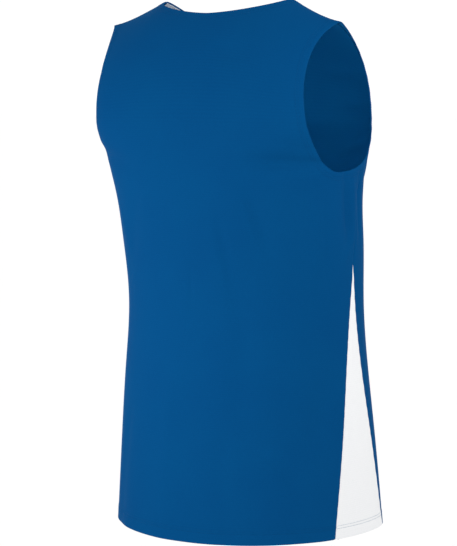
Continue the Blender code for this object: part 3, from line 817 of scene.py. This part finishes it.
def knitFinish(name, look):
    # weft knit: columns of V-shaped loops, drawn from the cloth's own millimetres
    material = bpy.data.materials.new(name)
    material.use_nodes = True
    tree = material.node_tree
    shader = tree.nodes["Principled BSDF"]
    laid = addNode(tree, "UVMap", uv_map="knit")
    loops = (1000.0 / look["wale"], 1000.0 / look["course"], 1.0)
    laid = addNode(tree, "VectorMath", {0: laid, 1: loops}, operation="MULTIPLY")
    across = addNode(tree, "SeparateXYZ", {0: laid})
    along = across.node.outputs[1]
    across = addNode(tree, "Math", {0: across}, operation="FRACT")
    across = addNode(tree, "Math", {0: across, 1: 0.5}, operation="SUBTRACT")
    across = addNode(tree, "Math", {0: across}, operation="ABSOLUTE")
    legs = addNode(tree, "Math", {0: across, 1: 2.0 * pi}, operation="MULTIPLY")
    legs = addNode(tree, "Math", {0: legs}, operation="SINE")
    slant = addNode(tree, "Math", {0: across, 1: look["slant"], 2: along}, operation="MULTIPLY_ADD")
    slant = addNode(tree, "Math", {0: slant, 1: 2.0 * pi}, operation="MULTIPLY")
    slant = addNode(tree, "Math", {0: slant}, operation="COSINE")
    slant = addNode(tree, "Math", {0: slant, 1: look["loopRelief"], 2: 1.0 - look["loopRelief"]},
                    operation="MULTIPLY_ADD")
    height = addNode(tree, "Math", {0: legs, 1: slant}, operation="MULTIPLY")

    solid = addNode(tree, "TexCoord").node.outputs["Object"]
    yarn = addNode(tree, "TexNoise", {"Vector": solid, "Scale": 1000.0 / look["yarnUneven"],
                                      "Detail": 3.0})
    patches = addNode(tree, "TexNoise", {"Vector": solid, "Scale": 1000.0 / look["dyeUneven"],
                                         "Detail": 2.0})
    # painted shade: the low parts of each loop take the darker furrow colour, the high parts the
    # crown colour
    shade = addNode(tree, "MixRGB", {0: height, 1: linear(look["furrowShade"]), 2: linear(look["crown"])})
    # the noises lie mostly between 0.3 and 0.7, which is spread to the whole range of each effect
    worn = addNode(tree, "MapRange", {0: patches, 1: 0.35, 2: 0.65, 3: 0.0, 4: look["dyeShare"]})
    shade = addNode(tree, "MixRGB", {0: worn, 1: shade, 2: linear(look["faded"])})
    spun = addNode(tree, "MapRange", {0: yarn, 1: 0.3, 2: 0.7,
                                      3: 1.0 - look["yarnShare"], 4: 1.0 + look["yarnShare"]})
    shade = addNode(tree, "VectorMath", {0: shade, "Scale": spun}, operation="SCALE")
    dull = addNode(tree, "MapRange", {0: patches, 1: 0.3, 2: 0.7,
                                      3: look["roughness"] - 0.05, 4: look["roughness"] + 0.05})
    relief = addNode(tree, "Math", {0: yarn, 1: 0.35, 2: height}, operation="MULTIPLY_ADD")
    bump = addNode(tree, "Bump", {"Strength": look["bump"], "Distance": look["loopHeight"] * mm,
                                  "Height": relief})
    feedShader(tree, shade, dull, bump, look["gloss"])
    shader.inputs["Sheen Weight"].default_value = look["sheen"]
    shader.inputs["Sheen Roughness"].default_value = look["sheenSpread"]
    shader.inputs["Sheen Tint"].default_value = linear(look["sheenTint"])
    return material


def threadFinish(name, look):
    # spun polyester sewing thread: dull, with light fibres along it
    material = bpy.data.materials.new(name)
    material.use_nodes = True
    tree = material.node_tree
    solid = addNode(tree, "TexCoord").node.outputs["Object"]
    fibre = addNode(tree, "TexNoise", {"Vector": solid, "Scale": 1000.0 / look["fibre"],
                                       "Detail": 2.0})
    shade = addNode(tree, "MixRGB", {0: fibre, 1: linear(look["deep"]), 2: linear(look["light"])})
    bump = addNode(tree, "Bump", {"Strength": 0.3, "Distance": 0.1 * mm, "Height": fibre})
    dull = addNode(tree, "MapRange", {0: fibre, 3: look["roughness"] - 0.06,
                                      4: look["roughness"] + 0.06})
    feedShader(tree, shade, dull, bump, look["gloss"])
    return material


# Polyester interlock knit, dyed royal blue in the piece: a matt cloth whose fine loops catch light
# only as a soft bloom at grazing angles. Its real loops, 0.8 mm wide, are too fine for this frame,
# so they are drawn three times as coarse. Their furrows are painted a little darker than their
# crowns: painted shade.
blueKnitLook = {
    "wale": 2.4, "course": 3.0, "slant": 1.1, "loopRelief": 0.45, "loopHeight": 0.25, "bump": 0.10,
    "crown": "#034476", "furrowShade": "#044071", "faded": "#054777", "dyeShare": 0.30, "dyeUneven": 95.0,
    "yarnUneven": 1.6, "yarnShare": 0.04, "roughness": 0.70, "gloss": 0.005,
    "sheen": 0.07, "sheenSpread": 0.22, "sheenTint": "#72cdff",
}
# The inner face of the same cloth, painted lighter than the outer face: painted light that stands
# in for the light which comes through the thin cloth and in at the openings.
blueInsidePaintedLightLook = {**blueKnitLook, "crown": "#0867a3", "furrowShade": "#06629c", "faded": "#0b6ca7"}
# Bleached polyester interlock of the same gauge: near white, with its furrows painted faintly cool
# and darker as painted shade.
whiteKnitLook = {
    **blueKnitLook, "bump": 0.12, "crown": "#e4e5e6", "furrowShade": "#dfe0e2", "faded": "#e2e3e4",
    "dyeShare": 0.4, "dyeUneven": 80.0, "yarnShare": 0.02, "gloss": 0.10,
    "sheen": 0.04, "sheenTint": "#ffffff",
}
# White one-by-one rib knit: springy ribs 2.6 mm apart across the band, with the furrows between
# them painted grey as painted shade.
ribKnitLook = {
    **whiteKnitLook, "wale": 2.6, "course": 2.2, "slant": 0.8, "loopRelief": 0.25, "loopHeight": 0.5,
    "bump": 0.55, "crown": "#e6e7e8", "furrowShade": "#b9bdc1", "faded": "#dcdee0", "dyeShare": 0.3,
    "dyeUneven": 40.0, "yarnUneven": 1.4, "roughness": 0.72, "gloss": 0.15,
}
# Spun thread dyed with the cloth: its rows are told from the knit by their relief alone.
blueThreadLook = {
    "deep": "#033d6e", "light": "#064f84", "fibre": 0.8, "roughness": 0.60, "gloss": 0.03,
}
# Thread on the white knit, drawn pale blue-grey: its grey is painted shade of the grooves that the
# rows pull into the knit, and its rows read as two thin cool lines.
paintedShadeThreadLook = {**blueThreadLook, "deep": "#8195a6", "light": "#9fb0be"}

blueKnit = knitFinish("piece dyed polyester interlock", blueKnitLook)
blueInsidePaintedLight = knitFinish("piece dyed polyester interlock, inner face, painted light", blueInsidePaintedLightLook)
whiteKnit = knitFinish("bleached polyester interlock", whiteKnitLook)
ribKnit = knitFinish("bleached rib knit", ribKnitLook)
blueThread = threadFinish("spun polyester thread, blue", blueThreadLook)
paintedShadeThread = threadFinish("spun polyester thread, pale blue grey", paintedShadeThreadLook)


# The cut pieces, as closed shells.
cloth, onPanel = {}, {}
for panel, patches in panels.items():
    cloth[panel], area = makeShell(panel + "Panel", mirrored(patches), panel, blueKnit, blueInsidePaintedLight)
    print(f"{panel} panel sewn, {area:.3f} m2")
leftInsert = insertPatch()
rightInsert = mirrored([leftInsert])[1]
for panel, patch in (("insertLeft", leftInsert), ("insertRight", rightInsert)):
    cloth[panel], area = makeShell(panel, [patch], "back", whiteKnit, whiteKnit)
    print(f"{panel} sewn, {area:.3f} m2")

neckBand = {"clearTop": 1.5, "wall": 1.1, "gap": 0.1, "columns": 90, "rows": 9}
frontNeck = neckCurve("front")
frontInset = insetCurve(frontNeck, cut["bandWidth"], "front")


def bandPatch():
    # left half of the band inside the front neckline, lower than the turned edge above it
    along = np.linspace(0.0, 1.0, neckBand["columns"])
    up = np.linspace(0.0, 1.0 - neckBand["clearTop"] / cut["bandWidth"], neckBand["rows"])
    return np.stack([frontInset(along) * (1.0 - t) + frontNeck(along) * t for t in up])


def bandDepths(thickness):
    return thickness + neckBand["gap"], thickness + neckBand["gap"] + neckBand["wall"]


cloth["band"], area = makeShell(
    "neckBand", mirrored([bandPatch()]), "front", ribKnit, ribKnit, bandDepths)
print(f"neck band sewn in, {area:.4f} m2")


# Stitches lie on the outer face, and their loopers and the overlocked seam allowances inside.
stitching = {
    "pitch": 3.2, "length": 2.7, "thread": 0.24,      # the thread is drawn 0.5 mm thick to show
    "proud": 0.10, "ends": -0.18, "thinEnds": 0.6,    # a stitch lies on the cloth and dips into it
    "looper": 0.17, "sides": 5, "looperSides": 4,
    "seamClear": 1.2,                                 # rows of the hem stop this far from a seam
    "allowance": (0.6, 7.0), "allowanceWall": 1.0,    # sewn edges inside, two layers of cloth
    "allowanceGap": 0.05,
    "overlockPitch": 2.6, "overlockRows": (1.6, 6.6),
    "hemPlaces": 90, "placeEvery": 4.0,
}


def rowAlong(curve, width, turn):
    # the places of an edge curve, moved into the cloth by a width
    share = np.linspace(0.0, 1.0, int(curve.length / stitching["placeEvery"]) + 8)
    here, into = besideCurve(curve, share)
    return moveAlong(here, turn * into, width)


def stitchPlaces(row):
    # four places along each stitch of a row
    curve = alongCurve(row)
    count = int(curve.length / stitching["pitch"])
    half = stitching["length"] / stitching["pitch"] / 2.0
    share = (np.arange(count)[:, None] + 0.5 + half * np.array((-1.0, -0.55, 0.55, 1.0))) / count
    return curve(share)


def zigzagPlaces(rowA, rowB, pitch):
    # five places of each V that goes from one row to the other and back
    a, b = alongCurve(rowA), alongCurve(rowB)
    count = int(a.length / pitch)
    share = (np.arange(count)[:, None] + np.linspace(0.0, 1.0, 5)) / count
    weight = np.array((0.0, 0.5, 1.0, 0.5, 0.0))[:, None]
    return a(share) * (1.0 - weight) + b(share) * weight


def lieOn(places, raised, inside=False, under=0.0):
    # points on the cloth's outer face, or on its inner one, and the way off it
    lift, thickness, _ = clothFaces(places)
    form, normal = formPoint(places), formNormal(places)
    if inside:
        return form + normal * (lift - thickness - under - raised)[..., None], -normal
    return form + normal * (lift + raised)[..., None], normal


def threadMesh(paths, normals, radii, sides):
    # short tubes along paths of points, as triangles
    count, stops = paths.shape[:2]
    run = unit(np.gradient(paths, axis=1))
    across = unit(np.cross(run, normals))
    up = np.cross(across, run)
    turn = np.arange(sides) * 2.0 * pi / sides
    around = across[:, :, None] * np.cos(turn)[:, None] + up[:, :, None] * np.sin(turn)[:, None]
    points = paths[:, :, None] + around * np.asarray(radii)[:, None, None]
    index = np.arange(count * stops * sides).reshape(count, stops, sides)
    turned = np.roll(index, -1, axis=2)
    a, b, c, d = index[:, :-1], turned[:, :-1], turned[:, 1:], index[:, 1:]
    faces = [np.stack((a, c, b), -1).reshape(-1, 3), np.stack((a, d, c), -1).reshape(-1, 3)]
    for corner in range(1, sides - 1):
        faces.append(index[:, 0][:, [0, corner, corner + 1]])
        faces.append(index[:, -1][:, [0, corner + 1, corner]])
    return points.reshape(-1, 3), np.concatenate(faces)


def joinThreads(name, parts, material):
    points, faces, count = [], [], 0
    for partPoints, partFaces in parts:
        points.append(partPoints)
        faces.append(partFaces + count)
        count += len(partPoints)
    return addMesh(name, np.concatenate(points), np.concatenate(faces), material)


def stitches(places):
    proud, ends, thin = stitching["proud"], stitching["ends"], stitching["thinEnds"]
    points, normal = lieOn(places, np.array((ends, proud, proud, ends)))
    radii = np.array((thin, 1.0, 1.0, thin)) * stitching["thread"]
    return threadMesh(points, normal, radii, stitching["sides"])


def loopers(places, under=0.0):
    points, normal = lieOn(places, stitching["proud"], inside=True, under=under)
    return threadMesh(points, normal, np.full(5, stitching["looper"]), stitching["looperSides"])


def onSide(places, side):
    return places * np.array((side, 1.0))


def hemRow(panel, height):
    # a row round the hem on the left half of a panel, or across the left insert
    level, onInsert = hem + height, panel == "insert"
    start = insertEdge("back", level) if onInsert else cut["middle"][panel]
    end = insertEdge("front" if onInsert else panel, level)
    clear = localDegrees(stitching["seamClear"], place(end, level)) * np.sign(end - start)
    if onInsert:
        start = start + clear
    return place(np.linspace(start, end - clear, stitching["hemPlaces"]), level)


def allowancePatch(seam, turn):
    # the sewn edges of a seam, pressed to one side inside the cloth
    widths = np.linspace(*stitching["allowance"], 7)
    patch = np.stack([rowAlong(seam, width, turn) for width in widths])
    return patch if turn > 0.0 else patch[::-1]


def allowanceDepths(thickness):
    near = thickness + stitching["allowanceGap"]
    return near, near + stitching["allowanceWall"]


sewn = {name: {"Stitches": [], "Loopers": []}
        for name in ("back", "front", "insertLeft", "insertRight")}


def sewRows(rows, pieces, under=0.0):
    # two rows of stitches and the loopers between them, on the left and on the right
    for side, name in zip((1.0, -1.0), pieces):
        sewn[name]["Stitches"] += [stitches(onSide(stitchPlaces(row), side)) for row in rows]
        zigzag = onSide(zigzagPlaces(rows[0], rows[1], stitching["pitch"]), side)
        sewn[name]["Loopers"].append(loopers(zigzag, under))


# The way from each edge into the cloth, and the side to which each seam is pressed.
edgeTurns = {"arm": {"back": 1.0, "front": -1.0}, "neck": {"back": -1.0, "front": 1.0}}
seamTurns = {"side": 1.0, "insertBack": 1.0, "insertFront": -1.0, "shoulder": 1.0}
for panel in panels:
    low, high = armCurves(panel)
    shares = np.linspace(0.0, 1.0, 120)
    armEdge = alongCurve(np.concatenate((low(shares), high(shares[1:]))))
    for kind, edge in (("arm", armEdge), ("neck", neckCurve(panel))):
        rows = [rowAlong(edge, away, edgeTurns[kind][panel]) for away in edgeFinish[kind]["rows"]]
        onBand = (kind, panel) == ("neck", "front")
        sewRows(rows, (panel, panel), neckBand["gap"] + neckBand["wall"] if onBand else 0.0)

hemPieces = {"back": ("back", "back"), "front": ("front", "front"),
             "insert": ("insertLeft", "insertRight")}
for panel, pieces in hemPieces.items():
    sewRows([hemRow(panel, height) for height in edgeFinish["hem"]["rows"]], pieces)

allowances = []
for name, seam in seams.items():
    allowances.append(allowancePatch(seam, seamTurns[name]))
    overlock = [rowAlong(seam, width, seamTurns[name]) for width in stitching["overlockRows"]]
    loops = zigzagPlaces(overlock[0], overlock[1], stitching["overlockPitch"])
    panel = "front" if name == "insertFront" else "back"
    under = stitching["allowanceGap"] + stitching["allowanceWall"]
    for side in (1.0, -1.0):
        sewn[panel]["Loopers"].append(loopers(onSide(loops, side), under))
pressed, area = makeShell(
    "seamAllowances", mirrored(allowances), "back", blueKnit, blueInsidePaintedLight, allowanceDepths)
print("stitches laid, seam allowances pressed")


# White studio that lights from all round, and two strip lights close to the back.
studio = {
    "floorHeight": -1.45, "floorReach": 40.0, "floor": "#fbfbfb", "floorDull": 0.9,
    "world": "#ffffff", "worldStrength": 1.05,
    "stripSize": (0.60, 0.25), "stripAim": (0.0, 0.0, -0.35),
    "strips": {"strip on the left": ((0.350, 0.606, -0.40), 2.3),
               "strip on the right": ((-0.724, 0.194, 0.083), 1.8)},
    "eye": (-1.8188, 2.7536, -0.0532), "lookAt": (0.0, 0.0, -0.3674), "roll": -0.506, "lens": 152.8,
}


def aimed(at, towards, roll=0.0):
    ahead = (Vector(towards) - Vector(at)).normalized()
    right = ahead.cross(Vector((0.0, 0.0, 1.0))).normalized()
    up = right.cross(ahead)
    turn = radians(roll)
    right, up = right * cos(turn) + up * sin(turn), up * cos(turn) - right * sin(turn)
    matrix = Matrix((right, up, -ahead)).transposed().to_4x4()
    matrix.translation = at
    return matrix


scene = bpy.context.scene
lensData = bpy.data.cameras.new("camera")
lensData.lens, lensData.sensor_width = studio["lens"], 36.0
camera = bpy.data.objects.new("camera", lensData)
camera.matrix_world = aimed(studio["eye"], studio["lookAt"], studio["roll"])
scene.collection.objects.link(camera)
scene.camera = camera
scene.view_settings.view_transform = "Standard"

for name, (at, power) in studio["strips"].items():
    strip = bpy.data.lights.new(name, "AREA")
    strip.shape, strip.energy = "RECTANGLE", power
    strip.size, strip.size_y = studio["stripSize"]
    lamp = bpy.data.objects.new(name, strip)
    lamp.matrix_world = aimed(at, studio["stripAim"])
    scene.collection.objects.link(lamp)

world = bpy.data.worlds.new("white studio")
world.use_nodes = True
sky = world.node_tree.nodes["Background"]
sky.inputs["Color"].default_value = linear(studio["world"])
sky.inputs["Strength"].default_value = studio["worldStrength"]
scene.world = world

# Matt white emulsion, rolled: even, and without a highlight.
floorPaint = bpy.data.materials.new("matt white emulsion paint")
floorPaint.use_nodes = True
paint = floorPaint.node_tree.nodes["Principled BSDF"]
paint.inputs["Base Color"].default_value = linear(studio["floor"])
paint.inputs["Roughness"].default_value = studio["floorDull"]
corners = np.array(((-1.0, -1.0, 0.0), (1.0, -1.0, 0.0), (1.0, 1.0, 0.0), (-1.0, 1.0, 0.0)))
corners = (corners * studio["floorReach"] + np.array((0.0, 0.0, studio["floorHeight"]))) / mm
floor = addMesh("floor", corners, [[0, 1, 2, 3]], floorPaint)
print("studio lit, camera placed")


# What each piece stands for, its slot and its thread.
standsFor = {
    "back": ("back_panel", "blue_knit", blueThread),
    "front": ("front_panel", "blue_knit", blueThread),
    "insertLeft": ("insert_left", "white_knit", paintedShadeThread),
    "insertRight": ("insert_right", "white_knit", paintedShadeThread),
    "band": ("neck_band", "white_knit", None),
}
for name, (node, slot, thread) in standsFor.items():
    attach(cloth[name], "root")
    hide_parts(node)
    onPanel[name] = [joinThreads(name + kind, parts, thread)
                     for kind, parts in sewn.get(name, {}).items()]
    if name == "back":
        onPanel[name].append(pressed)
    for piece in onPanel[name]:
        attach(piece, "root")
